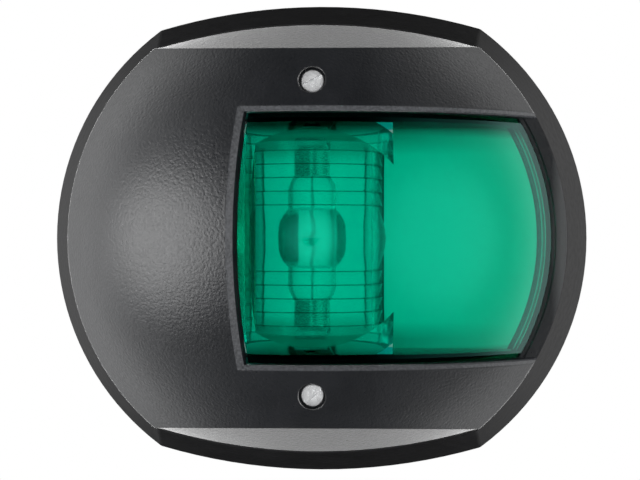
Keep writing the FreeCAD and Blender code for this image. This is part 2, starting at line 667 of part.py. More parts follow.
def make_fresnel_lens():
    """Half a drum about the bulb, stepped into ribs, on two straight legs."""
    edge = "belt_half + %d * rib_pitch"
    crest = "drum_radius"
    trough = "drum_radius - rib_depth"
    bulge = "drum_radius + belt_bulge"
    outside = [(crest, "belt_half"), (bulge + " * 0.75", "belt_half / 2"), (bulge, "0"),
               (bulge + " * 0.75", "0 - belt_half / 2"), (crest, "0 - belt_half")]
    above = []
    for rib in range(1, 6):
        above += [(trough, edge % rib), (crest, edge % rib)]
    upper = list(reversed(above))
    lower = [(radius, "0 - (%s)" % height) for radius, height in above]
    profile = [("drum_radius - drum_wall", "0 - drum_half"), ("drum_radius - drum_wall", "drum_half"),
               (crest, "drum_half")] + upper + outside + lower + [(crest, "0 - drum_half")]
    drum = turned_body("fresnel_drum", profile)
    drum.Placement.Rotation = UPWARD
    place(drum, "bulb_x", "0", "bulb_z")
    reach = "drum_radius + belt_bulge + bite"
    front = box("fresnel_front", ("bulb_x - (%s)" % reach, "bulb_x + " + reach),
                ("0 - drum_half - bite", "drum_half + bite"), ("bulb_z", "bulb_z + " + reach))
    legs = [box("fresnel_leg_" + side, leg_span(side, "0"), ("0 - drum_half", "drum_half"),
                ("drum_foot", "bulb_z")) for side in ("left", "right")]
    return fuse("fresnel_lens", common("fresnel_half", drum, front), *legs)


def leg_span(side, ease):
    """The stretch of x that one leg of the ribbed lens fills, with a clearance."""
    if side == "left":
        return ("bulb_x - drum_radius - " + ease, "bulb_x - drum_radius + drum_wall + " + ease)
    return ("bulb_x + drum_radius - drum_wall - " + ease, "bulb_x + drum_radius + " + ease)


# ------------------------------------------------------------------ bulb

def capsule(name, radius, half):
    """A round-ended bar on the bulb's axis."""
    straight = "%s - (%s)" % (half, radius)
    bar = upright(name + "_bar", radius, ("0 - (%s)" % straight, straight), "bulb_x", "bulb_z")
    ends = pair(sphere, name + "_end", straight, radius, x="bulb_x", z="bulb_z")
    return fuse(name, bar, *ends)


def make_bulb():
    """A double-ended bulb: a globe between two necks, two metal caps, a coil and its two leads."""
    globe = sphere("glass_globe", "glass_radius", x="bulb_x", z="bulb_z")
    necks = capsule("glass_necks", "neck_radius", "glass_half")
    hollow = capsule("glass_hollow", "glass_bore", "glass_half - glass_wall")
    items = [cut("bulb_glass", fuse("glass_outer", globe, necks), hollow)]
    profile = [("0", "cap_start"), ("cap_radius", "cap_start"), ("cap_radius", "cap_cone"),
               ("cap_tip", "cap_end"), ("0", "cap_end")]
    for label, turn in (("upper", -90), ("lower", 90)):
        blank = turned_body("cap_blank_" + label, profile)
        blank.Placement.Rotation = FreeCAD.Rotation(FreeCAD.Vector(1, 0, 0), turn)
        place(blank, "bulb_x", "0", "bulb_z")
        seat = capsule("cap_seat_" + label, "neck_radius", "glass_half")
        items.append(cut("bulb_cap_" + label, blank, seat))
    coil = upright("coil", "coil_radius", ("0 - coil_half", "coil_half"), "bulb_x", "bulb_z")
    items.append(group("bulb_filament", [coil]))
    reach = "glass_half - glass_wall"
    leads = [upright("lead_" + label, "lead_radius", span_up(label, "coil_half", reach),
                     "bulb_x", "bulb_z") for label in ("upper", "lower")]
    items.append(group("filament_leads", leads))
    return items


# ------------------------------------------------------------------ reflector, holder, contacts

def span_up(label, low, high):
    """A stretch of y above the lamp's middle, or the same stretch below it."""
    return (low, high) if label == "upper" else ("0 - (%s)" % high, "0 - (%s)" % low)


def middle_up(label, y):
    return y if label == "upper" else "0 - (%s)" % y


def blade_slot(name, label, z):
    return box(name, ("bulb_x - blade_width / 2 - blade_ease", "bulb_x + blade_width / 2 + blade_ease"),
               span_up(label, "blade_inner - blade_ease", "blade_inner + blade_slot_deep"), z)


def make_reflector_plate():
    low = "reflector_top - reflector_wall"
    plate = common("reflector_blank",
                   box("reflector_sheet", ("reflector_left", "cover_radius"),
                       ("0 - reflector_half", "reflector_half"), (low, "reflector_top")),
                   cylinder("reflector_round", "reflector_radius", (low, "reflector_top")))
    through = (low + " - bite", "reflector_top + bite")
    tools = [blade_slot("reflector_slot_" + label, label, through) for label in ("upper", "lower")]
    tools += [box("leg_slot_" + side, leg_span(side, "part_gap"),
                  ("0 - drum_half - part_gap", "drum_half + part_gap"), through)
              for side in ("left", "right")]
    tools += pair(cylinder, "reflector_hole", "reflector_screw_y", "small_screw + hole_ease / 2",
                  through, x="reflector_screw_x")
    return cut("reflector_plate", plate, *tools)


def small_screws(name, x, y, seat, tip):
    """Two slotted screws, one above the other, whose heads sit on a formula's height."""
    head = (seat, seat + " + small_head_tall")
    blanks = pair(cylinder, name + "_head", y, "small_head", head, x=x)
    blanks += pair(cylinder, name + "_shank", y, "small_screw", (tip, seat), x=x)
    reach = "small_head + bite"
    slots = []
    for label in ("upper", "lower"):
        middle = middle_up(label, y)
        slots.append(box(name + "_slot_" + label, ("(%s) - (%s)" % (x, reach), "(%s) + %s" % (x, reach)),
                         (middle + " - small_slot / 2", middle + " + small_slot / 2"),
                         (seat + " + small_head_tall / 2", seat + " + small_head_tall + bite")))
    return cut(name, fuse(name + "_blanks", *blanks), *slots)


def make_bulb_holder():
    body = DOC.addObject("PartDesign::Body", "bulb_holder_blank")
    outline = body_sketch(body, "holder_outline", "XY_Plane", "holder_bottom")
    polygon(outline, [("holder_left", "0 - holder_half"), ("holder_right", "0 - holder_half"),
                      ("holder_right", "holder_half"), ("holder_left", "holder_half")])
    pad(body, outline, "holder_top - holder_bottom")
    through = ("holder_bottom - bite", "holder_top + bite")
    tools = [blade_slot("holder_slot_" + label, label, through) for label in ("upper", "lower")]
    tools += pair(cylinder, "holder_hole", "holder_screw_y", "small_screw + hole_ease / 4",
                  through, x="bulb_x")
    tools += pair(cylinder, "holder_sink", "holder_screw_y", "small_head + hole_ease / 2",
                  ("holder_top - holder_sink", "holder_top + bite"), x="bulb_x")
    return cut("bulb_holder", body, *tools)


def crosswise(name, radius, x, y, z):
    """A round bar that runs across the lamp."""
    item = DOC.addObject("Part::Cylinder", name)
    item.Placement.Rotation = ACROSS
    bind(item, Radius=radius, Height="(%s) - (%s)" % (x[1], x[0]))
    return place(item, x[0], y, z)


def make_contact(label):
    """A spring blade, curled at its foot, whose hole takes the cone of the bulb's cap."""
    side = ("bulb_x - blade_width / 2", "bulb_x + blade_width / 2")
    blade = box("blade_" + label, side, span_up(label, "blade_inner", "blade_inner + blade_wall"),
                ("blade_bottom", "blade_top"))
    lip = box("blade_lip_" + label, side, span_up(label, "blade_inner", "blade_inner + blade_lip"),
              ("blade_top - blade_wall", "blade_top"))
    curl = crosswise("blade_curl_" + label, "blade_curl", side,
                     middle_up(label, "blade_inner + blade_wall / 2"), "blade_bottom")
    hole = upright("blade_hole_" + label, "blade_hole",
                   span_up(label, "blade_inner - bite", "blade_inner + blade_lip + bite"),
                   "bulb_x", "bulb_z")
    return cut("contact_" + label, fuse("contact_blank_" + label, blade, lip, curl), hole)


def make_lead_strips():
    """Two brass strips on the floor, from the terminals to the foot of each contact."""
    z = ("strip_bottom", "strip_bottom + strip_wall")
    outer = "blade_inner + blade_lip"
    rise_x = ("strip_turn - strip_width", "strip_turn")
    tab_half = "blade_width / 2 - strip_wall"
    strips = []
    for label in ("upper", "lower"):
        run = box("strip_run_" + label, ("clamp_x - clamp_half / 2", "strip_turn"),
                  span_up(label, "clamp_y - strip_width / 2", "clamp_y + strip_width / 2"), z)
        rise = box("strip_rise_" + label, rise_x, span_up(label, "clamp_y - strip_width / 2", outer), z)
        end = box("strip_end_" + label, (rise_x[0], "bulb_x + " + tab_half),
                  span_up(label, outer + " - strip_width", outer), z)
        tab = box("strip_tab_" + label, ("bulb_x - (%s)" % tab_half, "bulb_x + " + tab_half),
                  span_up(label, outer + " - strip_wall", outer),
                  ("strip_bottom", "reflector_top - reflector_wall - part_gap"))
        strips.append(fuse("strip_" + label, run, rise, end, tab))
    return group("lead_strips", strips)


def make_terminal_block():
    body = DOC.addObject("PartDesign::Body", "terminal_blank")
    outline = body_sketch(body, "terminal_outline", "XY_Plane", "floor_top")
    polygon(outline, [("block_left", "0 - block_half"), ("block_right", "0 - block_half"),
                      ("block_right", "block_half"), ("block_left", "block_half")])
    pad(body, outline, "block_top - floor_top")
    sill = "clamp_bottom + wire_sill"
    tools = []
    for label in ("upper", "lower"):
        tools.append(box("clamp_well_" + label, ("clamp_x - clamp_half", "clamp_x + clamp_half"),
                         span_up(label, "clamp_y - clamp_half", "clamp_y + clamp_half"),
                         ("clamp_bottom", "block_top + bite")))
        tools.append(box("strip_channel_" + label, ("clamp_x - clamp_half", "block_right + bite"),
                         span_up(label, "clamp_y - strip_width / 2", "clamp_y + strip_width / 2"),
                         ("floor_top", "clamp_bottom")))
        tools.append(box("wire_way_" + label, ("block_left - bite", "clamp_x"),
                         span_up(label, "clamp_y - wire_way", "clamp_y + wire_way"),
                         (sill, sill + " + 2 * wire_way")))
    return cut("terminal_block", body, *tools)


def make_terminal_clamps():
    clamps = []
    for label in ("upper", "lower"):
        y = middle_up(label, "clamp_y")
        block = box("clamp_" + label, ("clamp_x - clamp_half", "clamp_x + clamp_half"),
                    span_up(label, "clamp_y - clamp_half", "clamp_y + clamp_half"),
                    ("clamp_bottom", "clamp_top"))
        thread = cylinder("clamp_thread_" + label, "terminal_radius + press_ease",
                          ("clamp_bottom + clamp_floor", "clamp_top + bite"), "clamp_x", y)
        wire = crosswise("clamp_wire_" + label, "wire_radius",
                         ("clamp_x - clamp_half - bite", "clamp_x + clamp_half + bite"), y,
                         "clamp_bottom + wire_sill + wire_way")
        clamps.append(cut("clamp_body_" + label, block, thread, wire))
    return group("terminal_clamps", clamps)


# ------------------------------------------------------------------ screws

def slotted_screw(name, radius, head, heights, slot, turn, x, y):
    """A turned screw with a straight driver slot, its head towards the front."""
    tip, seat, top = heights
    profile = [("0", tip), (radius + " - thread_depth", tip), (radius, tip + " + thread_lead"),
               (radius, seat), (head, seat), (head, top + " - head_chamfer"),
               (head + " - head_chamfer", top), ("0", top)]
    blank = turned_body(name + "_blank", profile, x, y)
    width, deep = slot
    along = "(%s + bite)" % head
    groove = box(name + "_slot", ("0", "2 * " + along), ("0", width),
                 (top + " - " + deep, top + " + bite"))
    groove.Placement.Rotation = FreeCAD.Rotation(FreeCAD.Vector(0, 0, 1), size(turn))
    shift = (along, turn, width, turn)
    place(groove, "%s - %s * cos(%s) + %s / 2 * sin(%s)" % ((x,) + shift),
          "%s - %s * sin(%s) - %s / 2 * cos(%s)" % ((y,) + shift), top + " - " + deep)
    return cut(name, blank, groove)


def make_cover_screw(label):
    heights = ("screw_tip", "screw_head_top - screw_head_tall", "screw_head_top")
    return slotted_screw("cover_screw_" + label, "screw_radius", "screw_head", heights,
                         ("screw_slot", "screw_slot_deep"), label + "_turn", "0",
                         middle_up(label, "screw_y"))


def make_terminal_screw(label):
    heights = ("terminal_tip", "terminal_head_low", "terminal_head_top")
    return slotted_screw("terminal_screw_" + label, "terminal_radius", "terminal_head", heights,
                         ("terminal_slot", "terminal_slot_deep"), "terminal_turn", "clamp_x",
                         middle_up(label, "clamp_y"))


def make_washer(label):
    seat = "screw_head_top - screw_head_tall"
    profile = [("washer_bore", seat + " - washer_tall"), ("washer_radius", seat + " - washer_tall"),
               ("washer_radius", seat), ("washer_bore", seat)]
    return turned_body("screw_washer_" + label, profile, "0", middle_up(label, "screw_y"))


def make_insert(label):
    """A brass bush with a shallow groove round its middle."""
    waist = "insert_radius - insert_groove"
    middle = "(insert_bottom + insert_top) / 2"
    profile = [("insert_bore", "insert_bottom"), ("insert_radius", "insert_bottom"),
               ("insert_radius", middle + " - groove_mouth / 2"), (waist, middle + " - groove_floor / 2"),
               (waist, middle + " + groove_floor / 2"), ("insert_radius", middle + " + groove_mouth / 2"),
               ("insert_radius", "insert_top"), ("insert_bore", "insert_top")]
    return turned_body("threaded_insert_" + label, profile, "0", middle_up(label, "screw_y"))


# ------------------------------------------------------------------ finish

PARTS = []


def finish(item):
    """Name a finished piece and stand it on the hull plane."""
    item.Label = item.Name
    item.Placement = OUTWARD.multiply(item.Placement)
    PARTS.append(item)


def build_all():
    finish(make_mounting_gasket())
    finish(make_base_plate())
    finish(make_grommet())
    finish(make_cover_seal())
    finish(make_cover_shell())
    finish(make_green_lens())
    finish(make_lens_seal())
    finish(make_fresnel_lens())
    for item in make_bulb():
        finish(item)
    finish(make_reflector_plate())
    finish(small_screws("reflector_screws", "reflector_screw_x", "reflector_screw_y",
                        "reflector_top", "floor_top + small_point"))
    finish(make_bulb_holder())
    finish(small_screws("bulb_holder_screws", "bulb_x", "holder_screw_y",
                        "holder_top - holder_sink", "pad_thickness + bite + small_point"))
    for label in ("upper", "lower"):
        finish(make_contact(label))
        finish(make_terminal_screw(label))
        finish(make_washer(label))
        finish(make_insert(label))
        finish(make_cover_screw(label))
    finish(make_lead_strips())
    finish(make_terminal_block())
    finish(make_terminal_clamps())


build_all()
DOC.recompute()

for item in DOC.Objects:
    if "Invalid" in item.State or "Error" in item.State:
        raise RuntimeError("%s failed: %s" % (item.Name, item.State))
os.makedirs("parts", exist_ok=True)
for item in PARTS:
    shape = item.Shape
    if shape.isNull() or not shape.isValid():
        raise RuntimeError(item.Label + " has no valid shape")
    print("%-24s %d solid(s) %9.1f mm3" % (item.Label, len(shape.Solids), shape.Volume))
    shape.exportStep("parts/%s.step" % item.Label)
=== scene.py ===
import json
import math

import bmesh
import bpy
from mathutils import Matrix, Vector


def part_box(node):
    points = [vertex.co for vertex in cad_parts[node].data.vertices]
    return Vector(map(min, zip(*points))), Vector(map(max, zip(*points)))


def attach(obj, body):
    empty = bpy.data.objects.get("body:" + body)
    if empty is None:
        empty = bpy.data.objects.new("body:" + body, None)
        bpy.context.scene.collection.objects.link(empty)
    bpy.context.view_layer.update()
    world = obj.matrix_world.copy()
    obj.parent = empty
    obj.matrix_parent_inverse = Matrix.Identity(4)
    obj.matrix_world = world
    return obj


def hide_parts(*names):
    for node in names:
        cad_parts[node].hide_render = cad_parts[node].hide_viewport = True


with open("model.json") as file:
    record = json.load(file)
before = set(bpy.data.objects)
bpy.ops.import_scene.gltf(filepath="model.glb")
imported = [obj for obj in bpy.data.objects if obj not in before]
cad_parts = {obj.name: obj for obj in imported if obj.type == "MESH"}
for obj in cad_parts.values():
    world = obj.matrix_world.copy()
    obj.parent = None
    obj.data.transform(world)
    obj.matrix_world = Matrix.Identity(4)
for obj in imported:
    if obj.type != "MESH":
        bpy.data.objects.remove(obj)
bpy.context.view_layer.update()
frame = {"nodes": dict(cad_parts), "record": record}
SLOT_OF = {part["node"]: part["material_slot"] for part in frame["record"]["subparts"]}
MM = 0.001
COVER_SCREW_Z = 33.3 * MM


def middle(node):
    low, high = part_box(node)
    return (low + high) / 2


# ------------------------------------------------------------------ node helpers

class Nodes:
    """Helpers that add nodes to one tree."""

    def __init__(self, tree):
        self.tree = tree

    def node(self, kind, **settings):
        made = self.tree.nodes.new("ShaderNode" + kind)
        for key, value in settings.items():
            setattr(made, key, value)
        return made

    def link(self, start, end):
        self.tree.links.new(start, end)

    def math(self, operation, first, second=None):
        made = self.node("Math", operation=operation)
        self.link(first, made.inputs[0])
        if isinstance(second, (int, float)):
            made.inputs[1].default_value = second
        elif second is not None:
            self.link(second, made.inputs[1])
        return made.outputs[0]

    def axes(self, place):
        """The x, y and z of a place."""
        split = self.node("SeparateXYZ")
        self.link(place, split.inputs["Vector"])
        return [split.outputs[axis] for axis in "XYZ"]

    def spread(self, source, low, high, start=0.3, stop=0.7, smooth=False):
        """A value that runs from start to stop, brought to the range from low to high."""
        made = self.node("MapRange", interpolation_type="SMOOTHSTEP" if smooth else "LINEAR")
        made.inputs["From Min"].default_value = start
        made.inputs["From Max"].default_value = stop
        made.inputs["To Min"].default_value = low
        made.inputs["To Max"].default_value = high
        self.link(source, made.inputs["Value"])
        return made.outputs["Result"]

    def rise(self, source, start, stop):
        """0 up to start, 1 from stop on."""
        return self.spread(source, 0.0, 1.0, start, stop)

    def fall(self, source, start, stop):
        """1 up to start, 0 from stop on."""
        return self.spread(source, 1.0, 0.0, start, stop)

    def together(self, first, *more):
        """The product of some masks."""
        for mask in more:
            first = self.math("MULTIPLY", first, mask)
        return first


class Finish(Nodes):
    """A procedural material: one Principled shader with helpers that feed it."""

    def __init__(self, name):
        self.material = bpy.data.materials.new(name)
        self.material.use_nodes = True
        super().__init__(self.material.node_tree)
        self.shader = self.tree.nodes["Principled BSDF"]
        self.place = self.node("TexCoord").outputs["Object"]

    def plain(self, **values):
        """Values that are the same all over, set on the shader's own sockets."""
        for name, value in values.items():
            self.shader.inputs[name.replace("_", " ")].default_value = value

    def noise(self, size, detail=2.0, stretch=(1, 1, 1)):
        """Noise whose features are about a given size in metres, from 0 to 1."""
        mapping = self.node("Mapping")
        mapping.inputs["Scale"].default_value = stretch
        self.link(self.place, mapping.inputs["Vector"])
        made = self.node("TexNoise")
        made.inputs["Scale"].default_value = 1.0 / size
        made.inputs["Detail"].default_value = detail
        self.link(mapping.outputs["Vector"], made.inputs["Vector"])
        return made.outputs["Fac"]

    def rings(self, radius, size):
        """Noise that only changes with a radius: fine turning marks of about a given size."""
        made = self.node("TexNoise", noise_dimensions="1D")
        made.inputs["Scale"].default_value = 1 / size
        made.inputs["Detail"].default_value = 3.0
        self.link(radius, made.inputs["W"])
        return made.outputs["Fac"]

    def cells(self, size):
        """Distance to the nearest of scattered points, a given size apart."""
        made = self.node("TexVoronoi", feature="F1")
        made.inputs["Scale"].default_value = 1.0 / size
        self.link(self.place, made.inputs["Vector"])
        return made.outputs["Distance"]

    def tint(self, source, low, high):
        """A pattern turned into a blend of two colours."""
        made = self.node("Mix", data_type="RGBA")
        made.inputs["A"].default_value = (*low, 1)
        made.inputs["B"].default_value = (*high, 1)
        self.link(source, made.inputs["Factor"])
        self.link(made.outputs["Result"], self.shader.inputs["Base Color"])

    def overlay(self, mask, colour):
        """Another colour laid over the tint where a mask is high."""
        socket = self.shader.inputs["Base Color"]
        made = self.node("Mix", data_type="RGBA")
        self.link(socket.links[0].from_socket, made.inputs["A"])
        made.inputs["B"].default_value = (*colour, 1)
        self.link(mask, made.inputs["Factor"])
        self.link(made.outputs["Result"], socket)

    def roughness(self, source):
        self.link(source, self.shader.inputs["Roughness"])

    def bump(self, source, depth, strength=1.0):
        """Relief of a given depth in metres, laid on top of any relief added before."""
        made = self.node("Bump")
        made.inputs["Distance"].default_value = depth
        made.inputs["Strength"].default_value = strength
        self.link(source, made.inputs["Height"])
        socket = self.shader.inputs["Normal"]
        if socket.is_linked:
            self.link(socket.links[0].from_socket, made.inputs["Normal"])
        self.link(made.outputs["Normal"], socket)

    def soft_edges(self, radius):
        """Edges that look rounded over, as a mould leaves them."""
        made = self.node("Bevel", samples=6)
        made.inputs["Radius"].default_value = radius
        self.link(made.outputs["Normal"], self.shader.inputs["Normal"])

    def open_air(self, reach):
        """1 where nothing stands within reach of the surface, less in corners and holes."""
        made = self.node("AmbientOcclusion", samples=6)
        made.inputs["Distance"].default_value = reach
        return made.outputs["AO"]


FINISHES = {}


def finish_named(name):
    """Makes a material with the function that follows and keeps it under a name."""
    def keep(maker):
        made = Finish(name)
        maker(made)
        FINISHES[name] = made.material
        return maker
    return keep


# ------------------------------------------------------------------ materials

# The window's half height, its bevel, its slanting left wall, the well behind it,
# and the lip at its right end.
WINDOW_HALF, BEVEL_OUTER = 26.6 * MM, 27.7 * MM
WINDOW_SLANT, BEVEL_LEFT_OUTER, BEVEL_LEFT_INNER = -0.364, 2.55 * MM, 3.7 * MM
WALL_SPECULAR, WALL_FACE, WALL_BACK = 0.04, 3.6 * MM, 4.7 * MM
WELL_TOP, WELL_LEFT = -46.5 * MM, -20.5 * MM
LIP_INNER, LIP_OUTER = 52.2 * MM, 54.4 * MM
# Paler colours laid on the window's bevel and on the lip: painted highlights.
BEVEL_HIGHLIGHT, LIP_HIGHLIGHT = (0.062, 0.064, 0.069), (0.045, 0.046, 0.048)
MASK_FADE = 0.1 * MM


def window_across(f, x, y):
    """Place across the window, the same all the way down its slanting left wall."""
    return f.math("ADD", x, f.math("MULTIPLY", y, WINDOW_SLANT))


def window_wall_shade(f, x, y, z):
    """Mask of the window's left wall and of the well's end walls near it, where sheen and reflection are
    taken out so they read dark: painted shade.
    """
    across = window_across(f, x, y)
    height = f.math("ABSOLUTE", z)
    left = f.together(f.rise(across, WALL_FACE, WALL_FACE + MASK_FADE / 2),
                      f.fall(across, WALL_BACK, WALL_BACK + MASK_FADE),
                      f.fall(height, WINDOW_HALF - MASK_FADE, WINDOW_HALF))
    ends = f.together(f.rise(height, WINDOW_HALF - 2 * MASK_FADE, WINDOW_HALF - MASK_FADE),
                      f.fall(height, WINDOW_HALF + 3 * MASK_FADE, WINDOW_HALF + 4 * MASK_FADE),
                      f.rise(y, WELL_TOP, WELL_TOP + MM),
                      f.rise(x, WELL_LEFT, WELL_LEFT + MM))
    return f.math("MAXIMUM", left, ends)


def window_bevel_highlight(f, x, y, z):
    """Mask of the bevel round the window, grainy, where a paler colour is laid on as a painted highlight.
    """
    across = window_across(f, x, y)
    height = f.math("ABSOLUTE", z)
    ends = f.rise(height, WINDOW_HALF - MASK_FADE, WINDOW_HALF)
    left = f.fall(across, BEVEL_LEFT_INNER - MASK_FADE, BEVEL_LEFT_INNER)
    return f.together(f.math("MAXIMUM", ends, left),
                      f.fall(height, BEVEL_OUTER - 2 * MASK_FADE, BEVEL_OUTER),
                      f.rise(across, BEVEL_LEFT_OUTER - 2 * MASK_FADE, BEVEL_LEFT_OUTER),
                      f.spread(f.noise(0.5 * MM, 3), 0.35, 1.0))


@finish_named("shell_black")
def satin_moulding(f):
    """Black moulded cover: a matt leather grain that goes pale at a slant, with faint flow marks, and
    painted highlights on the window's bevel and on the lip.
    """
    f.soft_edges(0.5 * MM)
    f.plain(IOR=1.5, Sheen_Roughness=0.3)
    x, y, z = f.axes(f.place)
    wall = window_wall_shade(f, x, y, z)
    # Sheen fades in corners and holes, where little stands open round the surface: painted shade.
    sheen = f.spread(f.open_air(4 * MM), 0.0, 0.40, 0.45, 0.95)
    # Sheen and most reflection are taken off the window's walls so they read dark: painted shade.
    f.link(f.together(sheen, f.fall(wall, 0.0, 1.0)), f.shader.inputs["Sheen Weight"])
    f.link(f.spread(wall, 0.5, WALL_SPECULAR, 0.0, 1.0), f.shader.inputs["Specular IOR Level"])
    f.tint(f.spread(f.noise(9 * MM, 3), 0.0, 1.0), (0.0060, 0.0066, 0.0078), (0.0095, 0.0102, 0.0118))
    # A paler colour on the window's bevel: a painted highlight.
    f.overlay(window_bevel_highlight(f, x, y, z), BEVEL_HIGHLIGHT)
    # A paler colour across the lip at the window's right end: a painted highlight.
    f.overlay(f.rise(x, LIP_INNER, LIP_OUTER), LIP_HIGHLIGHT)
    f.roughness(f.spread(f.noise(0.6 * MM, 5), 0.27, 0.40))
    f.bump(f.noise(0.6 * MM, 2), 0.08 * MM, 1.0)
    f.bump(f.noise(26 * MM, 1), 0.12 * MM, 0.35)


@finish_named("shell_black_base")
def smooth_moulding(f):
    """The base's black plastic, smoother and deeper than the cover's."""
    f.soft_edges(0.25 * MM)
    f.plain(IOR=1.46)
    f.tint(f.spread(f.noise(7 * MM, 3), 0.0, 1.0), (0.0045, 0.0045, 0.0050), (0.0070, 0.0070, 0.0076))
    f.roughness(f.spread(f.noise(1.6 * MM, 4), 0.34, 0.46))
    f.bump(f.noise(0.5 * MM, 3), 0.02 * MM, 0.5)


@finish_named("foam_black")
def foam_sheet(f):
    """Closed-cell sheet, with small open pits on its cut faces."""
    f.plain(Specular_IOR_Level=0.3)
    f.tint(f.spread(f.noise(3 * MM, 3), 0.0, 1.0), (0.010, 0.010, 0.011), (0.022, 0.022, 0.023))
    f.roughness(f.spread(f.noise(1 * MM), 0.75, 0.95))
    f.bump(f.cells(0.5 * MM), 0.12 * MM, 0.6)


@finish_named("rubber_black")
def moulded_rubber(f):
    f.soft_edges(0.1 * MM)
    f.plain(Specular_IOR_Level=0.35)
    f.tint(f.spread(f.noise(4 * MM, 3), 0.0, 1.0), (0.008, 0.008, 0.009), (0.016, 0.016, 0.017))
    f.roughness(f.spread(f.noise(1.2 * MM, 3), 0.5, 0.68))
    f.bump(f.noise(0.4 * MM, 3), 0.03 * MM, 0.5)


def clear_body(f, colour, absorbed):
    """Solid clear material: a surface tint, a tint that grows with depth, and a way in for lamps.

    Absorbed says how much red, green and blue each metre of it takes away.
    """
    f.plain(Transmission_Weight=1.0, Base_Color=(*colour, 1), IOR=1.49)
    most = max(absorbed)
    volume = f.node("VolumeAbsorption")
    volume.inputs["Color"].default_value = (*[1 - share / most for share in absorbed], 1)
    volume.inputs["Density"].default_value = most
    output = f.tree.nodes["Material Output"]
    f.link(volume.outputs["Volume"], output.inputs["Volume"])
    path = f.node("LightPath")
    clear = f.node("BsdfTransparent")
    clear.inputs["Color"].default_value = (*[share ** 0.5 for share in colour], 1)
    mix = f.node("MixShader")
    f.link(path.outputs["Is Shadow Ray"], mix.inputs["Fac"])
    f.link(f.shader.outputs["BSDF"], mix.inputs[1])
    f.link(clear.outputs["BSDF"], mix.inputs[2])
    f.link(mix.outputs["Shader"], output.inputs["Surface"])


# The lens's edge tint and where it runs: painted shade.
LENS_TINT, LENS_EDGE_SHADE, LENS_ABSORBED = (0.0, 0.86, 0.74), (0.0, 0.12, 0.095), (2400.0, 125.0, 186.0)
LENS_SHADE_SHIFT, LENS_SHADE_START, LENS_SHADE_FULL = 0.7 * MM, 22.1 * MM, 24.3 * MM


@finish_named("lens_green")
def green_moulding(f):
    """Polished clear green plastic with a faint waviness, darkened by painted shade where it goes into its
    seat, more at the top.
    """
    clear_body(f, LENS_TINT, LENS_ABSORBED)
    f.plain(Specular_Tint=(0.1, 1.0, 0.85, 1), Specular_IOR_Level=0.25)
    # Painted shade: the tint darkens near the lens's top and bottom edges, measured from a middle set a
    # little low so the top is darker.
    height = f.math("ABSOLUTE", f.math("ADD", f.axes(f.place)[2], LENS_SHADE_SHIFT))
    f.tint(f.rise(height, LENS_SHADE_START, LENS_SHADE_FULL), LENS_TINT, LENS_EDGE_SHADE)
    f.roughness(f.spread(f.noise(6 * MM, 2), 0.0, 0.02))
    f.bump(f.noise(14 * MM, 1), 0.05 * MM, 0.3)


RIBS_START, RIB_PITCH, ROOT_SHARE = 4.1 * MM, 2.88 * MM, 0.055
# The dark colour at the rib roots is painted shade.
RIB_TINT, ROOT_SHADE = (0.95, 1.0, 1.0), (0.16, 0.30, 0.27)


@finish_named("lens_clear")
def ribbed_moulding(f):
    """Slightly milky clear plastic, with a painted dark line in the root of each rib that stands in for
    the shade its risers show by refraction.
    """
    clear_body(f, RIB_TINT, (5.0, 2.0, 2.0))
    f.plain(IOR=1.3, Transmission_Weight=0.91)
    height = f.math("ABSOLUTE", f.axes(f.place)[2])
    step = f.math("DIVIDE", f.math("SUBTRACT", height, RIBS_START), RIB_PITCH)
    off_root = f.rise(f.math("PINGPONG", step, 0.5), 0.0, ROOT_SHARE)
    belt = f.fall(step, 0.4, 0.5)
    # Dark lines at the rib roots: painted shade.
    f.tint(f.math("MAXIMUM", off_root, belt), ROOT_SHADE, RIB_TINT)
    f.roughness(f.spread(f.noise(2 * MM, 3), 0.02, 0.09))
    f.bump(f.noise(1.6 * MM, 2, stretch=(1, 1, 6)), 0.02 * MM, 0.4)


# The dark tint down the globe's sides is painted shade.
GLASS_TINT, CRESCENT_SHADE = (0.985, 0.99, 0.99), (0.012, 0.012, 0.012)
GLOBE_CLEAR_HALF, GLOBE_CLEAR_OFF, GLOBE_DARK_HALF = 3.95 * MM, 0.7 * MM, 4.5 * MM
CRESCENT_FADE = 0.2 * MM


@finish_named("bulb_glass")
def blown_glass(f):
    """Clear glass with a slight haze, with painted shade down both sides of the globe's front that stands
    in for the dark crescents its refraction shows.
    """
    clear_body(f, GLASS_TINT, (3.0, 1.0, 2.0))
    f.plain(IOR=1.5, Transmission_Weight=0.86)
    x, y, z = f.axes(f.node("NewGeometry").outputs["Position"])
    aside = f.math("ABSOLUTE", f.math("SUBTRACT", x, GLOBE_CLEAR_OFF))
    height = f.math("ABSOLUTE", z)
    depth = middle("bulb_glass").y
    # Dark crescents down both sides of the globe's front: painted shade.
    crescent_shade = f.together(f.rise(aside, GLOBE_CLEAR_HALF - CRESCENT_FADE, GLOBE_CLEAR_HALF + CRESCENT_FADE),
                       f.fall(height, GLOBE_DARK_HALF - 1.5 * CRESCENT_FADE, GLOBE_DARK_HALF),
                       f.fall(y, depth - CRESCENT_FADE, depth))
    f.tint(crescent_shade, GLASS_TINT, CRESCENT_SHADE)
    f.roughness(f.spread(f.noise(3 * MM, 2), 0.0, 0.02))
    f.bump(f.noise(5 * MM, 2), 0.05 * MM, 0.3)


@finish_named("cap_nickel")
def nickel(f):
    """Nickel plate over a drawn cap, with fine turning marks round it."""
    f.soft_edges(0.1 * MM)
    f.plain(Metallic=1.0)
    f.tint(f.spread(f.noise(2 * MM, 3), 0.0, 1.0), (0.58, 0.56, 0.52), (0.72, 0.70, 0.66))
    f.roughness(f.spread(f.noise(0.8 * MM, 3, stretch=(1, 1, 7)), 0.16, 0.34))
    f.bump(f.noise(0.9 * MM, 2, stretch=(0.2, 0.2, 8)), 0.01 * MM, 0.5)


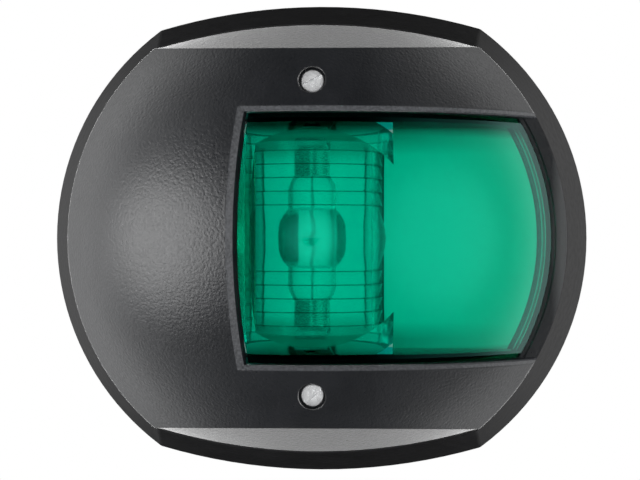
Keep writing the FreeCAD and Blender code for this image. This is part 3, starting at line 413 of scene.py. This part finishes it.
@finish_named("tungsten")
def drawn_wire(f):
    f.plain(Metallic=1.0)
    f.tint(f.spread(f.noise(0.6 * MM, 2), 0.0, 1.0), (0.045, 0.043, 0.042), (0.13, 0.125, 0.12))
    f.roughness(f.spread(f.noise(0.3 * MM, 2), 0.3, 0.5))
    f.bump(f.noise(0.15 * MM, 2), 0.01 * MM, 0.4)


@finish_named("plastic_white")
def white_moulding(f):
    """White moulded plastic, faintly yellowed, with a soft ripple."""
    f.soft_edges(0.15 * MM)
    f.plain(Specular_IOR_Level=0.5)
    f.tint(f.spread(f.noise(11 * MM, 3), 0.0, 1.0), (0.80, 0.81, 0.79), (0.88, 0.88, 0.86))
    f.roughness(f.spread(f.noise(2.5 * MM, 3), 0.28, 0.42))
    f.bump(f.noise(0.5 * MM, 2), 0.02 * MM, 0.3)


# The reflector's darker colour is painted shade.
PLATE_WHITE, PLATE_SHADED = (0.86, 0.86, 0.84), (0.22, 0.22, 0.20)
PLATE_SHADE_START, PLATE_SHADE_FULL, PLATE_SHADE_EARLIER = 19 * MM, 23 * MM, 4.5 * MM


@finish_named("plastic_white_plate")
def reflector_moulding(f):
    """The reflector: white, with painted shade above and below the bulb."""
    f.soft_edges(0.15 * MM)
    f.plain(Specular_IOR_Level=0.5)
    x, _, z = f.axes(f.place)
    beside_bulb = f.spread(x, PLATE_SHADE_EARLIER, 0.0, 13 * MM, 17 * MM)
    height = f.math("ADD", f.math("ABSOLUTE", z), beside_bulb)
    # Painted shade above and below the bulb: it starts nearer the middle beside the bulb, fades towards
    # the right and is a little patchy.
    shaded = f.together(f.rise(height, PLATE_SHADE_START, PLATE_SHADE_FULL),
                        f.spread(x, 1.0, 0.25, 8 * MM, 42 * MM),
                        f.spread(f.noise(9 * MM, 3), 0.8, 1.0))
    f.tint(shaded, PLATE_WHITE, PLATE_SHADED)
    f.roughness(f.spread(f.noise(2.5 * MM, 3), 0.28, 0.42))
    f.bump(f.noise(0.5 * MM, 2), 0.02 * MM, 0.3)


@finish_named("plastic_grey")
def grey_moulding(f):
    f.soft_edges(0.15 * MM)
    f.plain(Specular_IOR_Level=0.45)
    f.tint(f.spread(f.noise(6 * MM, 3), 0.0, 1.0), (0.15, 0.155, 0.16), (0.21, 0.215, 0.22))
    f.roughness(f.spread(f.noise(1.5 * MM, 3), 0.42, 0.6))
    f.bump(f.noise(0.35 * MM, 2), 0.02 * MM, 0.4)


@finish_named("steel")
def bright_steel(f):
    """Bright steel with fine turning marks and a few darker smudges."""
    f.soft_edges(0.1 * MM)
    f.plain(Metallic=1.0)
    f.tint(f.spread(f.noise(1.4 * MM, 4), 0.0, 1.0, 0.35, 0.65), (0.42, 0.43, 0.44), (0.74, 0.75, 0.76))
    f.roughness(f.spread(f.noise(0.5 * MM, 3), 0.20, 0.42))
    f.bump(f.noise(0.22 * MM, 3), 0.012 * MM, 0.6)


@finish_named("steel_turned")
def turned_steel(f):
    """The cover screws: bright zinc-plated steel with turning rings about each screw's own axis."""
    f.plain(Metallic=0.62)
    x, _, z = f.axes(f.place)
    off_axis = f.math("SUBTRACT", f.math("ABSOLUTE", z), COVER_SCREW_Z)
    squared = f.math("ADD", f.math("POWER", x, 2.0), f.math("POWER", off_axis, 2.0))
    f.tint(f.spread(f.noise(0.9 * MM, 4), 0.0, 1.0, 0.3, 0.62), (0.66, 0.67, 0.68), (0.88, 0.89, 0.90))
    f.roughness(f.spread(f.noise(0.5 * MM, 3), 0.26, 0.46))
    f.bump(f.rings(f.math("SQRT", squared), 0.12 * MM), 0.012 * MM, 0.7)
    f.bump(f.noise(0.3 * MM, 3), 0.012 * MM, 0.4)


ALONG_STRIP = (0.3, 1, 4)


def metal_strip(f, dull, bright, roughness):
    """Rolled strip, patchy between two colours, with fine marks along it."""
    f.soft_edges(0.08 * MM)
    f.plain(Metallic=1.0)
    f.tint(f.spread(f.noise(3 * MM, 4), 0.0, 1.0, 0.35, 0.65), dull, bright)
    f.roughness(f.spread(f.noise(0.9 * MM, 3, stretch=ALONG_STRIP), *roughness))
    f.bump(f.noise(0.3 * MM, 2, stretch=ALONG_STRIP), 0.01 * MM, 0.5)


@finish_named("brass")
def rolled_brass(f):
    metal_strip(f, (0.48, 0.33, 0.12), (0.78, 0.60, 0.27), (0.22, 0.44))


@finish_named("brass_tinned")
def tinned_brass(f):
    """The bulb's contact springs: brass strip under a dull coat of tin."""
    metal_strip(f, (0.40, 0.40, 0.39), (0.62, 0.62, 0.60), (0.3, 0.5))


OWN_FINISH = {"base_plate": "shell_black_base", "reflector_plate": "plastic_white_plate",
              "contact_upper": "brass_tinned", "contact_lower": "brass_tinned"}


def dress_cad_nodes():
    """Every CAD node gets its slot's finish, or its own where it has one."""
    for name, item in frame["nodes"].items():
        item.data.materials.clear()
        item.data.materials.append(FINISHES[OWN_FINISH.get(name, SLOT_OF[name])])


# ------------------------------------------------------------------ detailed pieces

def add_piece(name, mesh, finish, node, body):
    """A detailed piece that stands for a CAD node and moves with its body."""
    piece = bpy.data.objects.new(name, mesh)
    bpy.context.scene.collection.objects.link(piece)
    mesh.materials.append(FINISHES[finish])
    for face in mesh.polygons:
        face.use_smooth = True
    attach(piece, body)
    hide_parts(node)
    return piece


def ring_mesh(name, rings):
    """A closed skin through rings of points, all the same count, with a fan at each end."""
    mesh = bmesh.new()
    rows = [[mesh.verts.new(point) for point in ring] for ring in rings]
    count = len(rows[0])
    for lower, upper in zip(rows, rows[1:]):
        for i in range(count):
            j = (i + 1) % count
            mesh.faces.new((lower[i], lower[j], upper[j], upper[i]))
    for row, ring in ((rows[0], rings[0]), (rows[-1], rings[-1])):
        centre = mesh.verts.new(sum(ring, Vector()) / count)
        for i in range(count):
            mesh.faces.new((row[i], row[(i + 1) % count], centre))
    bmesh.ops.recalc_face_normals(mesh, faces=mesh.faces)
    made = bpy.data.meshes.new(name)
    mesh.to_mesh(made)
    mesh.free()
    return made


COIL_TURNS, COIL_STEPS, WIRE_SIDES = 52, 14, 6
COIL_RADIUS, WIRE_RADIUS, COIL_SAG, COIL_WAVES = 0.36 * MM, 0.09 * MM, 0.45 * MM, 2.5


def coil_point(step, low, high):
    """A point on the wire's centre line, so many steps along the coil from its lower end."""
    centre = (low + high) / 2
    share = step / (COIL_TURNS * COIL_STEPS)
    angle = 2 * math.pi * step / COIL_STEPS
    wander = COIL_SAG * math.sin(math.pi * share) * math.sin(2 * math.pi * COIL_WAVES * share)
    return Vector((centre.x + wander + COIL_RADIUS * math.cos(angle),
                   centre.y + COIL_RADIUS * math.sin(angle),
                   low.z + (high.z - low.z) * share))


def make_coil():
    """The filament: fine wire wound in a close helix that wanders a little between its leads."""
    low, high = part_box("bulb_filament")
    turns = [2 * math.pi * i / WIRE_SIDES for i in range(WIRE_SIDES)]
    rings = []
    for step in range(COIL_TURNS * COIL_STEPS + 1):
        along = (coil_point(step + 1, low, high) - coil_point(step - 1, low, high)).normalized()
        side = along.cross(Vector((0, 0, 1))).normalized()
        up = side.cross(along)
        centre = coil_point(step, low, high)
        rings.append([centre + WIRE_RADIUS * (math.cos(t) * side + math.sin(t) * up) for t in turns])
    add_piece("bulb_filament_coil", ring_mesh("coil", rings), "tungsten", "bulb_filament", "bulb")


HEAD_TALL, HEAD_EDGE, HEAD_CROWN, HEAD_CHAMFER = 2.0 * MM, 0.3 * MM, 0.12 * MM, 0.1 * MM
CROWN_TOP, CROWN_MID = 0.4, 0.75
SHANK_RADIUS, SHANK_FILLET = 1.25 * MM, 0.15 * MM
THREAD_LENGTH, THREAD_PITCH, THREAD_DEPTH = 9.0 * MM, 0.5 * MM, 0.16 * MM
PER_PITCH, AROUND, QUARTER_STEPS = 6, 28, 6
POINT_SHARE, POINT_PITCHES = 0.72, 2
SLOT_WIDE, SLOT_DEEP, SLOT_REACH = 0.8 * MM, 1.1 * MM, 2.4
SLOT_TURN = {"upper": 28.0, "lower": 45.0}
SHARP_FROM = math.radians(35)


def screw_profile(head_radius, length):
    """Radius at each depth below the top of the head, down to where the thread starts."""
    quarter = [math.radians(90 * i / QUARTER_STEPS) for i in range(QUARTER_STEPS + 1)]
    crown = [(head_radius * CROWN_TOP, -HEAD_CROWN), (head_radius * CROWN_MID, -HEAD_CROWN / 2)]
    edge = [(head_radius - HEAD_EDGE * (1 - math.sin(t)), HEAD_EDGE * (1 - math.cos(t)))
            for t in quarter]
    under = [(head_radius, HEAD_TALL - HEAD_CHAMFER), (head_radius - HEAD_CHAMFER, HEAD_TALL)]
    neck = [(SHANK_RADIUS + SHANK_FILLET, HEAD_TALL), (SHANK_RADIUS, HEAD_TALL + SHANK_FILLET)]
    return crown + edge + under + neck + [(SHANK_RADIUS, length - THREAD_LENGTH)]


def thread_radius(depth, taper, angle):
    """Radius of the thread at a depth and an angle; taper goes from 1 to 0 towards the point."""
    phase = (depth / THREAD_PITCH - angle / (2 * math.pi)) % 1.0
    core = SHANK_RADIUS * (POINT_SHARE + (1 - POINT_SHARE) * taper)
    return core - THREAD_DEPTH * abs(2 * phase - 1)


def make_cover_screw(label):
    """A slotted screw: a crowned head with a broken edge, a plain neck and a cut thread."""
    node = "cover_screw_" + label
    low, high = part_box(node)
    axis = middle(node)
    head_radius, length = (high.x - low.x) / 2, high.y - low.y
    turns = [2 * math.pi * i / AROUND for i in range(AROUND)]

    def ring(radii, depth):
        return [Vector((axis.x + radius * math.cos(t), low.y + depth, axis.z + radius * math.sin(t)))
                for radius, t in zip(radii, turns)]

    rings = [ring([radius] * AROUND, depth) for radius, depth in screw_profile(head_radius, length)]
    steps = int(PER_PITCH * THREAD_LENGTH / THREAD_PITCH)
    for step in range(1, steps + 1):
        depth = length - THREAD_LENGTH + THREAD_LENGTH * step / steps
        taper = min(1.0, (steps - step + 1) / (POINT_PITCHES * PER_PITCH))
        rings.append(ring([thread_radius(depth, taper, t) for t in turns], depth))
    piece = add_piece(node + "_detail", ring_mesh(node + "_turned", rings), "steel_turned", node, node)
    cut_slot(piece, axis, low.y, head_radius, math.radians(SLOT_TURN[label]))


def cut_slot(piece, axis, top, head_radius, turn):
    """Cuts a driver slot across a screw's head; top is the y of the head's face, turn the slot's angle."""
    cutter = bmesh.new()
    bmesh.ops.create_cube(cutter, size=1.0)
    reach = Matrix.Diagonal((SLOT_REACH * head_radius, 2 * SLOT_DEEP, SLOT_WIDE, 1))
    spin = Matrix.Rotation(-turn, 4, "Y")
    place = Matrix.Translation((axis.x, top, axis.z))
    bmesh.ops.transform(cutter, matrix=place @ spin @ reach, verts=cutter.verts)
    mesh = bpy.data.meshes.new("slot_cutter")
    cutter.to_mesh(mesh)
    cutter.free()
    tool = bpy.data.objects.new("slot_cutter", mesh)
    bpy.context.scene.collection.objects.link(tool)
    boolean = piece.modifiers.new("slot", "BOOLEAN")
    boolean.object = tool
    boolean.operation = "DIFFERENCE"
    boolean.solver = "EXACT"
    graph = bpy.context.evaluated_depsgraph_get()
    made = bpy.data.meshes.new_from_object(piece.evaluated_get(graph))
    piece.modifiers.remove(boolean)
    piece.data = made
    bpy.data.objects.remove(tool)
    bpy.data.meshes.remove(mesh)
    made.set_sharp_from_angle(angle=SHARP_FROM)


def make_pieces():
    make_coil()
    for label in ("upper", "lower"):
        make_cover_screw(label)


# ------------------------------------------------------------------ studio

CAMERA_AT = Vector((0.016, -0.400, 0.0))
CAMERA_AIM = Vector((-0.0002, 0.0, -0.00043))
CAMERA_LENS = 94.4


def make_camera():
    data = bpy.data.cameras.new("camera")
    data.lens = CAMERA_LENS
    camera = bpy.data.objects.new("camera", data)
    bpy.context.scene.collection.objects.link(camera)
    camera.location = CAMERA_AT
    camera.rotation_euler = (CAMERA_AIM - CAMERA_AT).to_track_quat("-Z", "Y").to_euler()
    bpy.context.scene.camera = camera


def toward(bearing, climb):
    """Unit vector at a bearing from straight in front (to the right is positive) and a height angle."""
    turn, rise = math.radians(bearing), math.radians(climb)
    return Vector((math.sin(turn) * math.cos(rise), -math.cos(turn) * math.cos(rise), math.sin(rise)))


def softbox(name, bearing, climb, distance, width, height, radiance):
    """A round or oval lamp aimed at the object; radiance is how bright its face is."""
    data = bpy.data.lights.new(name, "AREA")
    data.shape = "ELLIPSE"
    data.size = width
    data.size_y = height
    area = math.pi * width * height / 4
    data.energy = radiance * math.pi * area
    lamp = bpy.data.objects.new(name, data)
    bpy.context.scene.collection.objects.link(lamp)
    away = toward(bearing, climb)
    lamp.location = away * distance
    lamp.rotation_euler = (-away).to_track_quat("-Z", "Y").to_euler()
    return lamp


# How bright the surroundings are from straight in front (0) to straight behind (1).
FRONT_TO_BACK = [(0.0, 0.015), (0.1, 0.03), (0.2, 0.14), (0.3, 0.24),
                 (0.5, 0.27), (0.7, 1.3), (0.82, 0.55), (0.95, 0.16)]
BACKDROP = 2.3
SIDE_SHIFT, SIDE_START, SIDE_FULL, SIDE_DARK = 0.06, 0.24, 0.72, 0.04
RIGHT_START, RIGHT_FULL, RIGHT_LEVEL = 0.3, 0.8, 0.7
# Soft patches of light: bearing, climb, the angle they spread to, and how bright the middle is.
GLOWS = [(52, 0, 34, 1.1), (-2, 0, 13, 1.5)]


def depth_ramp(sky, y):
    """Brightness by how far towards the back a direction points."""
    ramp = sky.node("ValToRGB")
    stops = ramp.color_ramp
    stops.interpolation = "B_SPLINE"
    while len(stops.elements) < len(FRONT_TO_BACK):
        stops.elements.new(0.5)
    for element, (stop, value) in zip(stops.elements, FRONT_TO_BACK):
        element.position = stop
        element.color = (value, value, value, 1)
    sky.link(sky.spread(y, 0.0, 1.0, -1.0, 1.0, smooth=True), ramp.inputs["Fac"])
    return ramp.outputs["Color"]


def side_level(sky, x):
    """Dark straight in front and behind, bright to both sides, a little less so to the right."""
    leaning = sky.math("ABSOLUTE", sky.math("ADD", x, SIDE_SHIFT))
    return sky.together(sky.spread(leaning, SIDE_DARK, 1.0, SIDE_START, SIDE_FULL, smooth=True),
                        sky.spread(x, 1.0, RIGHT_LEVEL, RIGHT_START, RIGHT_FULL, smooth=True))


def glow(sky, place, bearing, climb, spread, peak):
    """A soft patch of light about a direction."""
    aim = sky.node("VectorMath", operation="DOT_PRODUCT")
    sky.link(place, aim.inputs[0])
    aim.inputs[1].default_value = toward(bearing, climb)
    return sky.spread(aim.outputs["Value"], 0.0, peak, math.cos(math.radians(spread)), 1.0, smooth=True)


def make_world():
    """White to look at. Its light comes from the sides and from behind, and little from in front."""
    world = bpy.data.worlds.new("studio")
    bpy.context.scene.world = world
    world.use_nodes = True
    sky = Nodes(world.node_tree)
    place = sky.node("TexCoord").outputs["Generated"]
    x, y, _ = sky.axes(place)
    strength = sky.math("MULTIPLY", sky.together(depth_ramp(sky, y), side_level(sky, x)), BACKDROP)
    for patch in GLOWS:
        strength = sky.math("ADD", strength, glow(sky, place, *patch))
    lit = sky.node("Background")
    sky.link(strength, lit.inputs["Strength"])
    seen = sky.tree.nodes["Background"]
    for background in (lit, seen):
        background.inputs["Color"].default_value = (1, 1, 1, 1)
    mix = sky.node("MixShader")
    sky.link(sky.node("LightPath").outputs["Is Camera Ray"], mix.inputs["Fac"])
    sky.link(lit.outputs["Background"], mix.inputs[1])
    sky.link(seen.outputs["Background"], mix.inputs[2])
    sky.link(mix.outputs["Shader"], sky.tree.nodes["World Output"].inputs["Surface"])


FLOOR_HALF, FLOOR_LEVEL = 2.0, -0.50


def make_floor():
    mesh = bpy.data.meshes.new("floor")
    corners = [(x * FLOOR_HALF, y * FLOOR_HALF, FLOOR_LEVEL)
               for x, y in ((-1, -1), (1, -1), (1, 1), (-1, 1))]
    mesh.from_pydata(corners, [], [(0, 1, 2, 3)])
    floor = bpy.data.objects.new("floor", mesh)
    bpy.context.scene.collection.objects.link(floor)
    f = Finish("floor_pale")
    f.tint(f.spread(f.noise(0.4, 2), 0.0, 1.0), (0.78, 0.78, 0.78), (0.84, 0.84, 0.84))
    f.plain(Roughness=0.7, Emission_Color=(1, 1, 1, 1), Emission_Strength=0.6)
    mesh.materials.append(f.material)
    floor.visible_glossy = floor.visible_transmission = False


# Bearing and climb of the flash and its glint, and how far away they stand.
FLASH_FROM = (2.5, 0.5, 0.42)


def make_lamps():
    softbox("softbox_left", -60, 0, 0.75, 0.68, 0.60, radiance=5.6)
    flash = softbox("flash", *FLASH_FROM, 0.012, 0.012, radiance=3900.0)
    flash.visible_glossy = flash.visible_transmission = False
    softbox("glint", *FLASH_FROM, 0.006, 0.006, radiance=90.0)


def make_studio():
    make_camera()
    make_world()
    make_floor()
    make_lamps()
    bpy.context.scene.view_settings.view_transform = "Standard"


# ------------------------------------------------------------------ build

dress_cad_nodes()
make_pieces()
make_studio()
